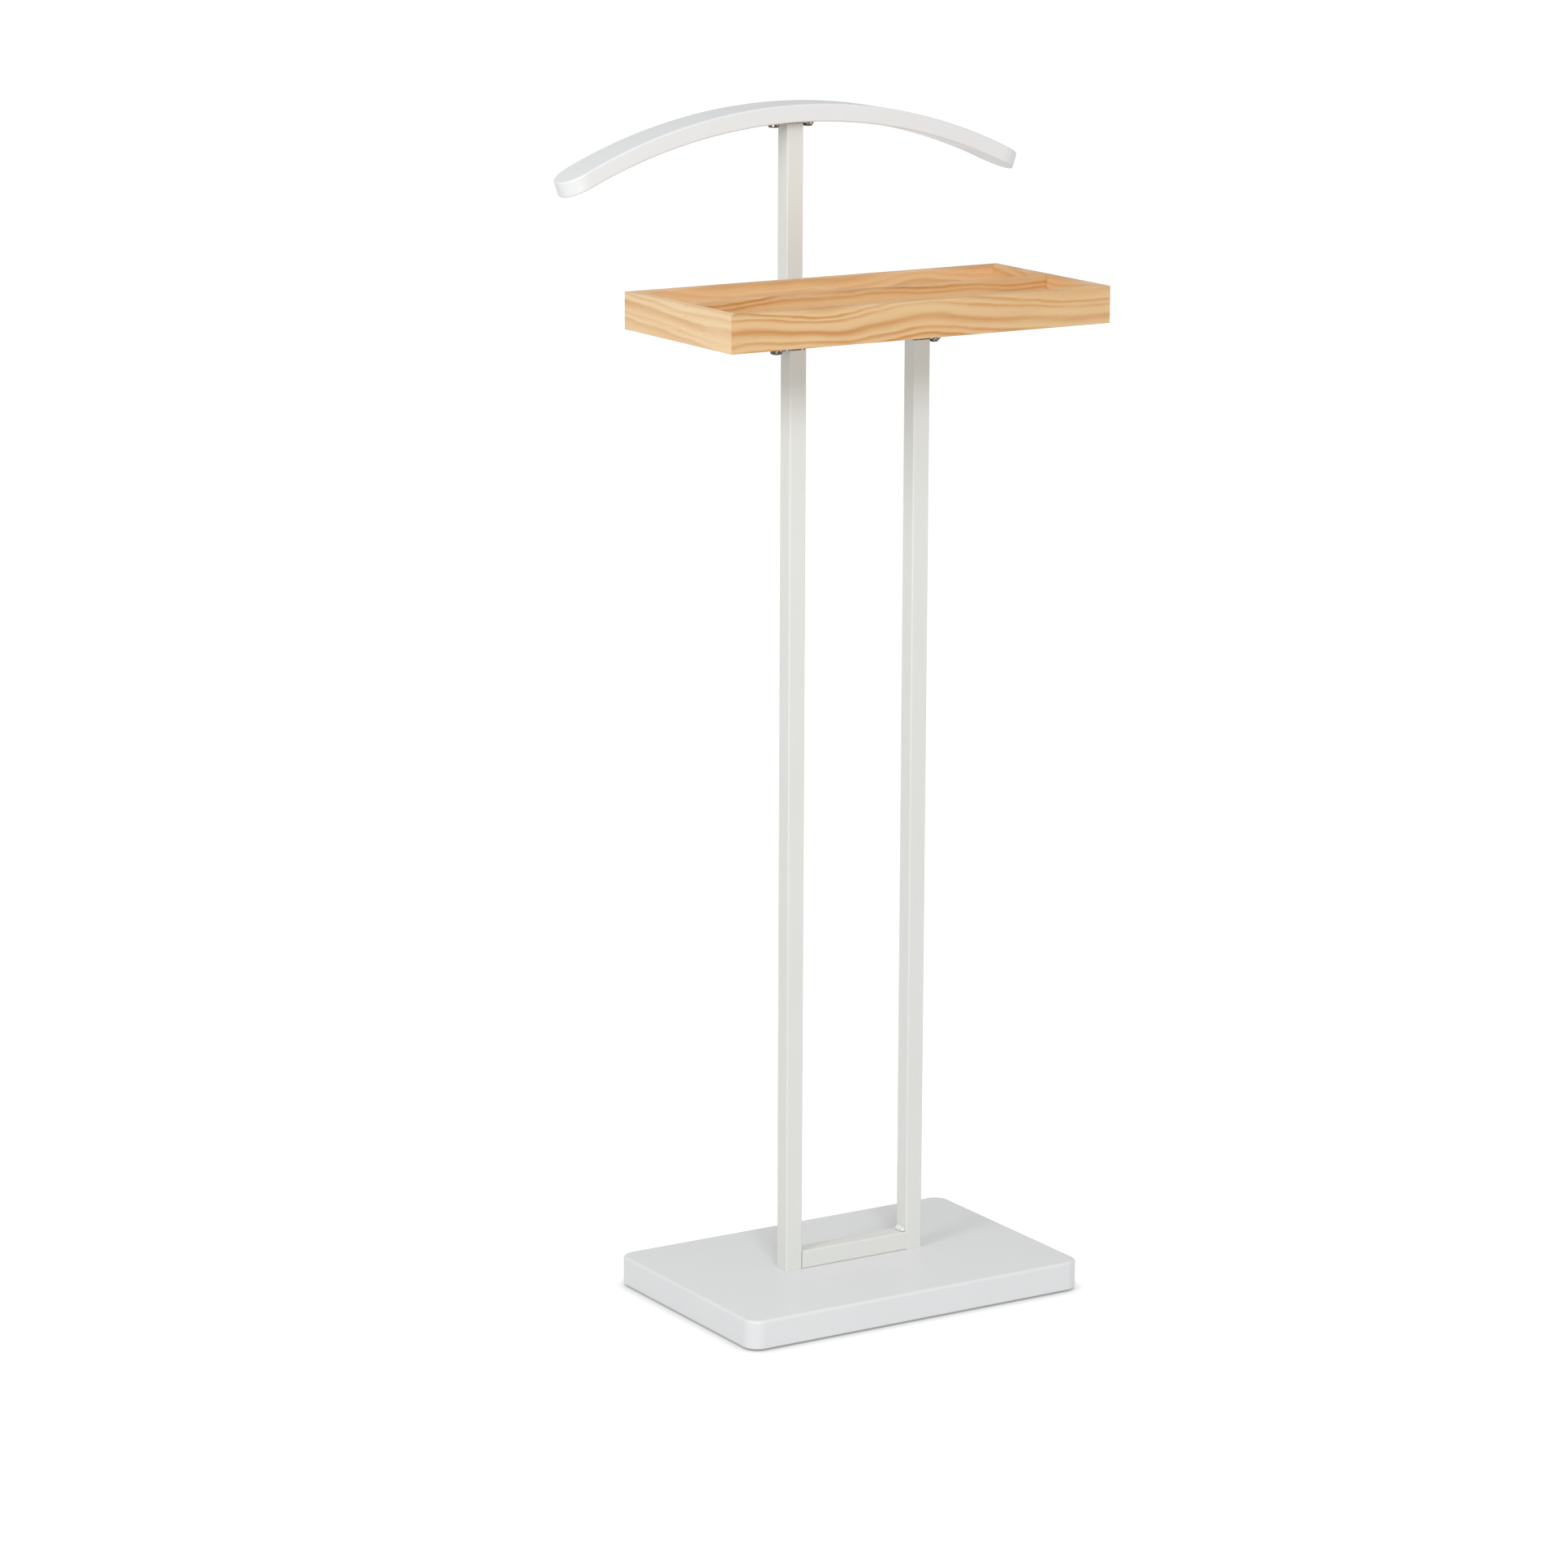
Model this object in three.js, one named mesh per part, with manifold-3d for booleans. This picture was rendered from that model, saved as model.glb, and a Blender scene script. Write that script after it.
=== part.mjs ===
// Valet stand: a heavy base plate, two square uprights joined by a foot crossbar, a divided
// wooden tray on a steel bearer, and a curved coat hanger on a bent post behind the tray.
// Units are millimetres, +Z is up, +Y points to the back, and the origin is on the floor
// under the centre of the stand's footprint, which runs from the front of the base to the
// back of the hanger. Each group below is laid out from the plane of the uprights.

import * as THREE from 'three';
import { mergeVertices } from 'three/addons/utils/BufferGeometryUtils.js';
import Module from 'manifold-3d';

const wasm = await Module();
wasm.setup();

// ---------------------------------------------------------------- driving dimensions

const OVERALL = { width: 456, depth: 236, height: 1020 };
const GAP = 0.3; // clearance between pieces that touch
const CUT_MARGIN = 1; // how far a cutting tool passes beyond a face
const ROUND_MARGIN = 0.01; // the straight length left at the middle of a fully round end

const BASE = { width: 336, depth: 224, thickness: 25, corner: 14, edge: 2 };
const PAD = { radius: 13, thickness: 1.5, inset: 30 };
const TUBE = { side: 16, wall: 1.2, corner: 1.3, innerCorner: 0.4 };
const UPRIGHT_X = 61.5; // from the middle of the stand to the middle of an upright
const TRAY = { width: 371, depth: 171, height: 31.5, top: 876, front: -105, wall: 10, floor: 8 };
const DIVIDER = { thickness: 9, y: -20.5 };
const POST = { bendRadius: 30, steps: 44 };
const HANGER = { depth: 38, thickness: 15.3, radius: 495, endSlant: 4.7 };
const PLATE = { thickness: 1.2, width: 14, reach: 22, screwOffset: 17, corner: 5, squareCorner: 1 };
const SCREW = { headRadius: 5, headHeight: 3.4, shankRadius: 1.8, holeRadius: 2.3 };
const BOLT = { headRadius: 5.5, headHeight: 3.6, shankRadius: 3, holeRadius: 3.4, length: 42 };
const CROSS_RECESS = { arm: 4.4, slot: 0.9, depth: 1.2 };
const HEX_RECESS = { acrossCorners: 4.6, depth: 1.92 };
const WASHER = { radius: 6.4, thickness: 1.2 };
const COUNTERBORE = { radius: 7.5, depth: 7.5 };
const INSERT_LENGTH = 22;
const BORE_FILL_CORNER = 1; // on the insert and the plug that sit inside a tube
const BEARER_OVERHANG = 24.5; // past the middle of an upright
const PLUG = { flange: 2, depth: 4.5 };
const WELD_SIZE = 4;
const REAR_SCREW_Y = 40;
const PILOT = { cover: 2, room: 1, hangerDepth: 13 }; // cover over a tray pilot, room past a tip

// ---------------------------------------------------------------- levels that follow

const FRAME_SHIFT = (BASE.depth - OVERALL.depth) / 2;
const POST_Y = OVERALL.depth - BASE.depth / 2 - HANGER.depth / 2;
const BASE_BOTTOM = PAD.thickness + GAP;
const BASE_TOP = BASE_BOTTOM + BASE.thickness;
const UPRIGHT_BOTTOM = BASE_TOP + GAP;
const TRAY_BOTTOM = TRAY.top - TRAY.height;
const FLOOR_TOP = TRAY_BOTTOM + TRAY.floor;
const BEARER_Z = TRAY_BOTTOM - GAP - TUBE.side / 2;
const BEARER_BOTTOM = BEARER_Z - TUBE.side / 2;
const BEARER_HALF_LENGTH = UPRIGHT_X + BEARER_OVERHANG;
const TOP_PLATE_Z = BEARER_BOTTOM - GAP - PLATE.thickness;
const UPRIGHT_TOP = TOP_PLATE_Z - GAP;
const TRAY_SCREW_X = UPRIGHT_X + PLATE.screwOffset;
const HANGER_UNDERSIDE = OVERALL.height - HANGER.thickness;
const ARCH_DROP = HANGER.radius - Math.sqrt(HANGER.radius ** 2 - PLATE.reach ** 2);
const HANGER_PLATE_Z = HANGER_UNDERSIDE - ARCH_DROP - GAP - PLATE.thickness;
const POST_TOP = HANGER_PLATE_Z - GAP;

// ---------------------------------------------------------------- materials

const material = (color, roughness, metalness) =>
  new THREE.MeshStandardMaterial({ color, roughness, metalness });

const WHITE_LACQUER = material(0xe6e7e8, 0.38, 0);
const WHITE_COAT = material(0xdfe0db, 0.42, 0.1);
const PINE = material(0xe3bd8b, 0.55, 0);
const NICKEL = material(0x5c5650, 0.3, 1);
const NYLON = material(0x3a3a3c, 0.6, 0);
const FELT = material(0x6f6a63, 0.95, 0);

// ---------------------------------------------------------------- shape helpers

// A closed geometry as a manifold solid.
function solidOf(geometry) {
  const bare = geometry.clone();
  bare.deleteAttribute('normal');
  bare.deleteAttribute('uv');
  const merged = mergeVertices(bare, 1e-4);
  return new wasm.Manifold(new wasm.Mesh({
    numProp: 3,
    vertProperties: merged.attributes.position.array,
    triVerts: new Uint32Array(merged.index.array),
  }));
}

// A manifold solid as a flat-shaded geometry.
function geometryOf(solid) {
  const mesh = solid.getMesh();
  const indexed = new THREE.BufferGeometry();
  indexed.setAttribute('position', new THREE.BufferAttribute(mesh.vertProperties, 3));
  indexed.setIndex(new THREE.BufferAttribute(mesh.triVerts, 1));
  const geometry = indexed.toNonIndexed();
  geometry.computeVertexNormals();
  return geometry;
}

function cut(geometry, ...tools) {
  return geometryOf(tools.reduce((rest, tool) => rest.subtract(solidOf(tool)), solidOf(geometry)));
}

function join(...geometries) {
  return geometryOf(geometries.map(solidOf).reduce((all, next) => all.add(next)));
}

// A rectangle about the origin with round corners.
function roundedRectangle(width, height, radius, Kind = THREE.Shape) {
  const x = width / 2 - radius;
  const y = height / 2 - radius;
  const outline = new Kind();
  outline.moveTo(x + radius, -y);
  outline.absarc(x, y, radius, 0, Math.PI / 2);
  outline.absarc(-x, y, radius, Math.PI / 2, Math.PI);
  outline.absarc(-x, -y, radius, Math.PI, Math.PI * 1.5);
  outline.absarc(x, -y, radius, Math.PI * 1.5, Math.PI * 2);
  return outline;
}

// An outline raised along +Z from z = 0.
function prism(outline, height, curveSegments = 3) {
  return new THREE.ExtrudeGeometry(outline, { depth: height, bevelEnabled: false, curveSegments });
}

// A round bar along +Z from z = 0.
function rod(radius, length, segments = 20) {
  return new THREE.CylinderGeometry(radius, radius, length, segments)
    .rotateX(Math.PI / 2)
    .translate(0, 0, length / 2);
}

// A tool that cuts a round hole right through a thickness that starts at z = 0.
function drill(radius, thickness) {
  return rod(radius, thickness + 2 * CUT_MARGIN).translate(0, 0, -CUT_MARGIN);
}

// A disc or block with a round hole through it.
function ringed(outline, height, holeRadius) {
  return cut(prism(outline, height), drill(holeRadius, height));
}

// The hollow section of every tube.
function tubeSection() {
  const inner = TUBE.side - 2 * TUBE.wall;
  const section = roundedRectangle(TUBE.side, TUBE.side, TUBE.corner);
  section.holes.push(roundedRectangle(inner, inner, TUBE.innerCorner, THREE.Path));
  return section;
}

// The outline of a piece that fills a tube's bore.
function boreOutline() {
  const side = TUBE.side - 2 * (TUBE.wall + GAP);
  return roundedRectangle(side, side, BORE_FILL_CORNER);
}

// A square tube along +Z, centred on its length.
function squareTube(length) {
  return prism(tubeSection(), length).translate(0, 0, -length / 2);
}

// A solid of revolution about Z. The profile lists [radius, height] from the bottom up.
function turned(profile, segments = 24) {
  const points = profile.map(([radius, height]) => new THREE.Vector2(radius, height));
  return new THREE.LatheGeometry(points, segments).rotateX(Math.PI / 2);
}

// A domed screw head that hangs below z = 0, with a shank that rises above it and a driver
// recess in its face.
function domedScrew({ headRadius, headHeight, shankRadius }, length, recess) {
  const crownRadius = headRadius * 0.7;
  const shoulderRadius = headRadius * 0.92;
  const shoulder = headHeight * 0.84;
  const rim = headHeight * 0.45;
  const body = turned([
    [0, -headHeight],
    [crownRadius, -headHeight],
    [shoulderRadius, -shoulder],
    [headRadius, -rim],
    [headRadius, 0],
    [shankRadius, 0],
    [shankRadius, length - shankRadius],
    [0, length],
  ]);
  return cut(body, ...recess.map((tool) => tool.translate(0, 0, -headHeight)));
}

// The tools for a driver recess. Half of each tool is outside the head.
function crossRecess() {
  const { arm, slot, depth } = CROSS_RECESS;
  return [new THREE.BoxGeometry(arm, slot, 2 * depth), new THREE.BoxGeometry(slot, arm, 2 * depth)];
}

function hexRecess() {
  const { acrossCorners, depth } = HEX_RECESS;
  return [rod(acrossCorners / 2, 2 * depth, 6).translate(0, 0, -depth)];
}

// ---------------------------------------------------------------- the assembly

function place(parent, name, geometry, look, x = 0, y = 0, z = 0) {
  const mesh = new THREE.Mesh(geometry, look);
  mesh.name = name;
  mesh.position.set(x, y, z);
  parent.add(mesh);
  return mesh;
}

const SIDES = [['left', -1], ['right', 1]];

// ---------------------------------------------------------------- base

function basePlate() {
  const outline = roundedRectangle(BASE.width, BASE.depth, BASE.corner);
  const slab = new THREE.ExtrudeGeometry(outline, {
    depth: BASE.thickness - 2 * BASE.edge,
    bevelThickness: BASE.edge,
    bevelSize: BASE.edge,
    bevelOffset: -BASE.edge,
    bevelSegments: 3,
    curveSegments: 8,
  }).translate(0, 0, BASE.edge);
  const holes = SIDES.flatMap(([, side]) => [
    drill(BOLT.holeRadius, BASE.thickness).translate(side * UPRIGHT_X, 0, 0),
    rod(COUNTERBORE.radius, COUNTERBORE.depth + CUT_MARGIN, 28)
      .translate(side * UPRIGHT_X, 0, -CUT_MARGIN),
  ]);
  return cut(slab, ...holes);
}

function buildBase() {
  const group = new THREE.Group();
  place(group, 'base_plate', basePlate(), WHITE_LACQUER, 0, 0, BASE_BOTTOM);
  const padX = BASE.width / 2 - PAD.inset;
  const padY = BASE.depth / 2 - PAD.inset;
  for (const [end, along] of [['front', -1], ['back', 1]]) {
    for (const [side, across] of SIDES) {
      const pad = rod(PAD.radius, PAD.thickness, 32);
      place(group, `felt_pad_${end}_${side}`, pad, FELT, across * padX, along * padY);
    }
  }
  return group;
}

// ---------------------------------------------------------------- lower frame

// A plate welded across the end of a tube, from x = -back to x = reach, with one screw hole
// at each x in the list. Its corners at the reach end are round.
function endPlate(back, reach, backCorner, holes) {
  const y = PLATE.width / 2;
  const outline = new THREE.Shape();
  outline.moveTo(reach, PLATE.corner - y);
  outline.absarc(reach - PLATE.corner, y - PLATE.corner, PLATE.corner, 0, Math.PI / 2);
  outline.absarc(backCorner - back, y - backCorner, backCorner, Math.PI / 2, Math.PI);
  outline.absarc(backCorner - back, backCorner - y, backCorner, Math.PI, Math.PI * 1.5);
  outline.absarc(reach - PLATE.corner, PLATE.corner - y, PLATE.corner, Math.PI * 1.5, Math.PI * 2);
  const blank = prism(outline, PLATE.thickness, 6);
  const drills = holes.map((x) => drill(SCREW.holeRadius, PLATE.thickness).translate(x, 0, 0));
  return cut(blank, ...drills);
}

function buildUpright(name, side) {
  const group = new THREE.Group();
  group.position.x = side * UPRIGHT_X;
  const height = UPRIGHT_TOP - UPRIGHT_BOTTOM;
  place(group, `${name}_upright`, squareTube(height), WHITE_COAT, 0, 0, UPRIGHT_BOTTOM + height / 2);

  const plate = endPlate(TUBE.side / 2, PLATE.reach, PLATE.squareCorner, [PLATE.screwOffset]);
  place(group, `${name}_upright_top_plate`, plate, NICKEL, 0, 0, TOP_PLATE_Z)
    .rotation.z = side > 0 ? 0 : Math.PI;

  const insert = ringed(boreOutline(), INSERT_LENGTH, BOLT.shankRadius + GAP);
  place(group, `${name}_foot_insert`, insert, NYLON, 0, 0, UPRIGHT_BOTTOM);

  const seat = BASE_BOTTOM + COUNTERBORE.depth - GAP;
  const disc = roundedRectangle(2 * WASHER.radius, 2 * WASHER.radius, WASHER.radius - ROUND_MARGIN);
  const washer = ringed(disc, WASHER.thickness, BOLT.shankRadius + GAP);
  place(group, `${name}_bolt_washer`, washer, NICKEL, 0, 0, seat - WASHER.thickness);
  place(group, `${name}_base_bolt`, domedScrew(BOLT, BOLT.length, hexRecess()), NICKEL,
    0, 0, seat - WASHER.thickness - GAP);
  return group;
}

function weldBead(length) {
  const outline = new THREE.Shape();
  outline.moveTo(0, 0);
  outline.lineTo(WELD_SIZE, 0);
  outline.quadraticCurveTo(WELD_SIZE * 0.62, WELD_SIZE * 0.62, 0, WELD_SIZE);
  outline.closePath();
  return prism(outline, length, 6).translate(0, 0, -length / 2).rotateX(Math.PI / 2);
}

function buildCrossbar() {
  const group = new THREE.Group();
  const clear = UPRIGHT_X - TUBE.side / 2 - GAP;
  const centre = UPRIGHT_BOTTOM + TUBE.side / 2;
  place(group, 'foot_crossbar', squareTube(2 * clear), WHITE_COAT, 0, 0, centre)
    .rotation.y = Math.PI / 2;
  place(group, 'crossbar_weld_bead', weldBead(TUBE.side - 2 * TUBE.corner), WHITE_COAT,
    clear, 0, centre + TUBE.side / 2 + GAP)
    .rotation.z = Math.PI;
  return group;
}

// ---------------------------------------------------------------- upper frame

function plugGeometry() {
  return join(
    prism(roundedRectangle(TUBE.side, TUBE.side, TUBE.corner), PLUG.flange),
    prism(boreOutline(), PLUG.depth + PLUG.flange / 2).translate(0, 0, -PLUG.depth),
  );
}

function buildBearer() {
  const group = new THREE.Group();
  group.position.z = BEARER_Z;
  const length = 2 * BEARER_HALF_LENGTH;
  const drills = SIDES.map(([, side]) =>
    drill(SCREW.holeRadius, TUBE.side).translate(0, 0, -TUBE.side / 2)
      .rotateY(-Math.PI / 2).translate(0, 0, side * TRAY_SCREW_X));
  place(group, 'tray_bearer', cut(squareTube(length), ...drills), WHITE_COAT)
    .rotation.y = Math.PI / 2;
  for (const [name, side] of SIDES) {
    place(group, `bearer_plug_${name}`, plugGeometry(), NYLON, side * (BEARER_HALF_LENGTH + GAP))
      .rotation.y = side * Math.PI / 2;
  }
  return group;
}

// A quarter circle in the YZ plane that starts along +Y and ends along +Z.
class QuarterBend extends THREE.Curve {
  constructor(start, radius) {
    super();
    this.start = start;
    this.radius = radius;
  }

  getPoint(t, target = new THREE.Vector3()) {
    const angle = t * Math.PI / 2;
    const along = this.radius * Math.sin(angle);
    const rise = this.radius * (1 - Math.cos(angle));
    return target.set(this.start.x, this.start.y + along, this.start.z + rise);
  }
}

// The post starts at the back of the bearer, runs back under the tray and turns up behind it.
function hangerPost() {
  const start = new THREE.Vector3(0, TUBE.side / 2 + GAP, BEARER_Z);
  const bendStart = new THREE.Vector3(0, POST_Y - POST.bendRadius, BEARER_Z);
  const bendEnd = new THREE.Vector3(0, POST_Y, BEARER_Z + POST.bendRadius);
  const path = new THREE.CurvePath();
  path.add(new THREE.LineCurve3(start, bendStart));
  path.add(new QuarterBend(bendStart, POST.bendRadius));
  path.add(new THREE.LineCurve3(bendEnd, new THREE.Vector3(0, POST_Y, POST_TOP)));
  const tube = new THREE.ExtrudeGeometry(tubeSection(), {
    extrudePath: path,
    steps: POST.steps,
    curveSegments: 3,
  });
  return cut(tube, drill(SCREW.holeRadius, TUBE.side).translate(0, REAR_SCREW_Y, BEARER_BOTTOM));
}

function buildUpperFrame() {
  const group = new THREE.Group();
  group.add(buildBearer());
  place(group, 'hanger_post', hangerPost(), WHITE_COAT);
  const holes = [-PLATE.screwOffset, PLATE.screwOffset];
  const plate = endPlate(PLATE.reach, PLATE.reach, PLATE.corner, holes);
  place(group, 'hanger_plate', plate, NICKEL, 0, POST_Y, HANGER_PLATE_Z);
  return group;
}

// ---------------------------------------------------------------- tray

// A board with mitred ends, its outer face on y = 0 and its inner face on y = wall.
function mitredBoard(length) {
  const setback = GAP / Math.SQRT2;
  const outer = length / 2 - setback;
  const inner = outer - TRAY.wall;
  const outline = new THREE.Shape([
    new THREE.Vector2(-outer, 0),
    new THREE.Vector2(outer, 0),
    new THREE.Vector2(inner, TRAY.wall),
    new THREE.Vector2(-inner, TRAY.wall),
  ]);
  return prism(outline, TRAY.height);
}

function trayFloor() {
  const width = TRAY.width - 2 * (TRAY.wall + GAP);
  const depth = TRAY.depth - 2 * (TRAY.wall + GAP);
  const board = new THREE.BoxGeometry(width, depth, TRAY.floor).translate(0, 0, TRAY.floor / 2);
  const middle = TRAY.front + TRAY.depth / 2;
  const pilotLength = TRAY.floor - PILOT.cover + CUT_MARGIN;
  const pilots = [[-TRAY_SCREW_X, 0], [TRAY_SCREW_X, 0], [0, REAR_SCREW_Y]].map(([x, y]) =>
    rod(SCREW.shankRadius + GAP, pilotLength).translate(x, y - middle, -CUT_MARGIN));
  return cut(board, ...pilots);
}

function buildTray() {
  const group = new THREE.Group();
  const middle = TRAY.depth / 2;
  group.position.set(0, TRAY.front + middle, TRAY_BOTTOM);
  const walls = [
    ['front', TRAY.width, 0, -middle, 0],
    ['back', TRAY.width, 0, middle, Math.PI],
    ['left', TRAY.depth, -TRAY.width / 2, 0, -Math.PI / 2],
    ['right', TRAY.depth, TRAY.width / 2, 0, Math.PI / 2],
  ];
  for (const [name, length, x, y, turn] of walls) {
    place(group, `tray_${name}_wall`, mitredBoard(length), PINE, x, y).rotation.z = turn;
  }
  place(group, 'tray_floor', trayFloor(), PINE);
  const dividerWidth = TRAY.width - 2 * (TRAY.wall + GAP);
  const dividerHeight = TRAY.height - TRAY.floor - GAP;
  place(group, 'tray_divider', new THREE.BoxGeometry(dividerWidth, DIVIDER.thickness, dividerHeight),
    PINE, 0, DIVIDER.y - group.position.y, TRAY.height - dividerHeight / 2);
  return group;
}

// The screws that hold the tray: two rise through the uprights' plates and the bearer, and
// one rises through the post's arm.
function buildTrayScrews() {
  const group = new THREE.Group();
  const tip = FLOOR_TOP - PILOT.cover - PILOT.room;
  const plateSeat = TOP_PLATE_Z - GAP;
  for (const [name, side] of SIDES) {
    place(group, `tray_screw_${name}`, domedScrew(SCREW, tip - plateSeat, crossRecess()), NICKEL,
      side * TRAY_SCREW_X, 0, plateSeat);
  }
  const armSeat = BEARER_BOTTOM - GAP;
  place(group, 'tray_screw_rear', domedScrew(SCREW, tip - armSeat, crossRecess()), NICKEL,
    0, REAR_SCREW_Y, armSeat);
  return group;
}

// ---------------------------------------------------------------- coat hanger

// The bar's plan, which has half-round ends, raised to cover the arch. It narrows downwards so
// that the tips lean in by the end slant over the bar's thickness.
function hangerPlan() {
  const { radius, thickness, depth, endSlant } = HANGER;
  const halfWidth = OVERALL.width / 2;
  const tipTop = Math.sqrt(radius ** 2 - halfWidth ** 2) - radius;
  const above = 50;
  const below = 150;
  const outline = roundedRectangle(2 * halfWidth, depth, depth / 2 - ROUND_MARGIN);
  const plan = prism(outline, above + below, 10).translate(0, 0, -below);
  const corners = plan.getAttribute('position');
  const lean = endSlant / thickness / halfWidth;
  for (let i = 0; i < corners.count; i += 1) {
    corners.setX(i, corners.getX(i) * (1 + (corners.getZ(i) - tipTop) * lean));
  }
  return plan;
}

function hangerBar() {
  const { radius, thickness, depth } = HANGER;
  const sweep = Math.asin((OVERALL.width / 2 + 2 * CUT_MARGIN) / radius);
  const from = Math.PI / 2 + sweep;
  const to = Math.PI / 2 - sweep;
  const arch = new THREE.Shape();
  arch.absarc(0, -radius, radius, from, to, true);
  arch.absarc(0, -radius - thickness, radius, to, from, false);
  const blank = prism(arch, depth, 40).translate(0, 0, -depth / 2).rotateX(Math.PI / 2);
  const rounded = geometryOf(solidOf(blank).intersect(solidOf(hangerPlan())));
  const pilots = SIDES.map(([, side]) =>
    rod(SCREW.shankRadius + GAP, PILOT.hangerDepth)
      .translate(side * PLATE.screwOffset, 0, HANGER_PLATE_Z - OVERALL.height));
  return cut(rounded, ...pilots);
}

function buildHanger() {
  const group = new THREE.Group();
  group.position.set(0, POST_Y, 0);
  place(group, 'hanger_bar', hangerBar(), WHITE_LACQUER, 0, 0, OVERALL.height);
  const screwLength = PILOT.hangerDepth - PILOT.room;
  for (const [name, side] of SIDES) {
    place(group, `hanger_screw_${name}`, domedScrew(SCREW, screwLength, crossRecess()),
      NICKEL, side * PLATE.screwOffset, 0, HANGER_PLATE_Z - GAP);
  }
  return group;
}

const assembly = new THREE.Group();
assembly.position.y = FRAME_SHIFT;
assembly.add(buildBase());
for (const [name, side] of SIDES) assembly.add(buildUpright(name, side));
assembly.add(buildCrossbar(), buildUpperFrame(), buildTray(), buildTrayScrews(), buildHanger());

const stand = new THREE.Group();
stand.add(assembly);

export default stand;
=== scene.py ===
"""The looks of the valet stand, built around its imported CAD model.

Every piece is made in metres in the model's own frame: X to the right, Y to the back, Z up.
Places come from the CAD nodes' boxes. Sizes that the boxes don't give are named below.
"""

import math

import bmesh
import bpy
from mathutils import Matrix, Quaternion, Vector, noise


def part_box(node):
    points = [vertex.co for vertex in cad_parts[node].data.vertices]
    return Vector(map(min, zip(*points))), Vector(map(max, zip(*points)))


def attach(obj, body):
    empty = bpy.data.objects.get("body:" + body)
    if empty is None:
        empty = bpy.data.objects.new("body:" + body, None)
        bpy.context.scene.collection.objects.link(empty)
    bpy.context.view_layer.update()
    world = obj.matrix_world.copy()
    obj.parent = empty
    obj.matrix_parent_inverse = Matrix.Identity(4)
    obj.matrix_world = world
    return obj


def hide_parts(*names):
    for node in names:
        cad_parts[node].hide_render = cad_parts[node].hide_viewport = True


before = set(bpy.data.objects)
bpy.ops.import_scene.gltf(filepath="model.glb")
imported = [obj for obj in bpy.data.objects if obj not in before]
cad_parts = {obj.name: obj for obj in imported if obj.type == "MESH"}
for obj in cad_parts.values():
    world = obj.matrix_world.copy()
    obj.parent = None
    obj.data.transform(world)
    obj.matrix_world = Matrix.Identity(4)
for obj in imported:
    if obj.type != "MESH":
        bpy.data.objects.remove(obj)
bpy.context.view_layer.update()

BODY = "root"
MM = 0.001
QUARTER = math.pi / 2

# ---------------------------------------------------------------- sizes the boxes don't give

SLAB_CORNER = 14 * MM
SLAB_TOP_EDGE = 2.6 * MM
SLAB_BOTTOM_EDGE = 1.2 * MM
BOLT_HOLE_RADIUS = 3.4 * MM
COUNTERBORE_RADIUS = 7.5 * MM
COUNTERBORE_DEPTH = 7.5 * MM

PAD_CLEARANCE = 0.3 * MM  # keeps the ragged edge of a pad inside its box
PAD_RAGGED_DEPTH = 0.3 * MM
PAD_RAGGED_SIZE = 2.5 * MM
PAD_BOTTOM_EDGE = 0.25 * MM
PAD_TOP_EDGE = 0.4 * MM

TUBE_SIDE = 16 * MM
TUBE_WALL = 1.2 * MM
TUBE_CORNER = 1.2 * MM
TUBE_INNER_CORNER = 0.4 * MM
TOUCH = 0.25 * MM  # how much of a CAD clearance is taken up where two pieces should look seated
BEND_RADIUS = 30 * MM
BEND_STEPS = 20

PLATE_CORNER = 5 * MM
PLATE_SQUARE_CORNER = 1 * MM
PLATE_EDGE = 0.25 * MM
PLATE_HOLE_RADIUS = 2.2 * MM
SCREW_OFFSET = 17 * MM
SCREW_HEAD = 5 * MM
SCREW_HEAD_HEIGHT = 3.4 * MM
SCREW_SHANK = 1.8 * MM
BOLT_HEAD = 5.5 * MM
BOLT_HEAD_HEIGHT = 3.6 * MM
BOLT_SHANK = 3 * MM
THREAD_PITCH = 1.2 * MM
THREAD_DEPTH = 0.25 * MM
CROSS_SLOT_SHARE = 0.16  # half the width of a cross recess's slot, as a share of the head's radius
HEX_RECESS_RADIUS = 2.3 * MM
HEX_RECESS_DEPTH = 2.2 * MM
RECESS_MARGIN = 0.5 * MM  # how far a driver's cutter stands out of the head
WASHER_HOLE_RADIUS = 3.3 * MM
WASHER_EDGE = 0.2 * MM

PLUG_STUB = 13 * MM
PLUG_TIP = 11.6 * MM
PLUG_TIP_EASE = 0.4 * MM
PLUG_TIP_LENGTH = 0.8 * MM
PLUG_FLANGE = 2 * MM
PLUG_RIM = 0.7 * MM
PLUG_RIB_HEIGHT = 0.25 * MM
PLUG_RIB_PLACES = (1.6 * MM, 2.8 * MM, 4.0 * MM)
PLUG_RIB_WIDTH = 0.6 * MM

WELD_BLOBS = 3
WELD_NECK = 0.68  # the size between two blobs, as a share of the size at a blob
WELD_LUMP = 0.16
WELD_LUMP_SIZE = 1.7 * MM

WALL = 10 * MM
MITRE_REACH = 0.18 * MM  # how far each mitre reaches into the CAD clearance
LONGEST_END = 20 * MM  # an edge across the end of a board is shorter than this
BOARD_EDGE = 0.4 * MM

HANGER_THICKNESS = 15.3 * MM
HANGER_RADIUS = 495 * MM
HANGER_EDGE = 1.6 * MM
HANGER_END_SLANT = 4.7 * MM
HANGER_END_STEPS = 14
HANGER_SPAN_STEPS = 90

SMALLEST_RADIUS = 0.1 * MM  # a turned piece ends in a flat face of this radius

SIDES = (("left", -1), ("right", 1))


def mid(low, high):
    """The middle of a box."""
    return (low + high) / 2


# ---------------------------------------------------------------- outlines and skins

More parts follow.
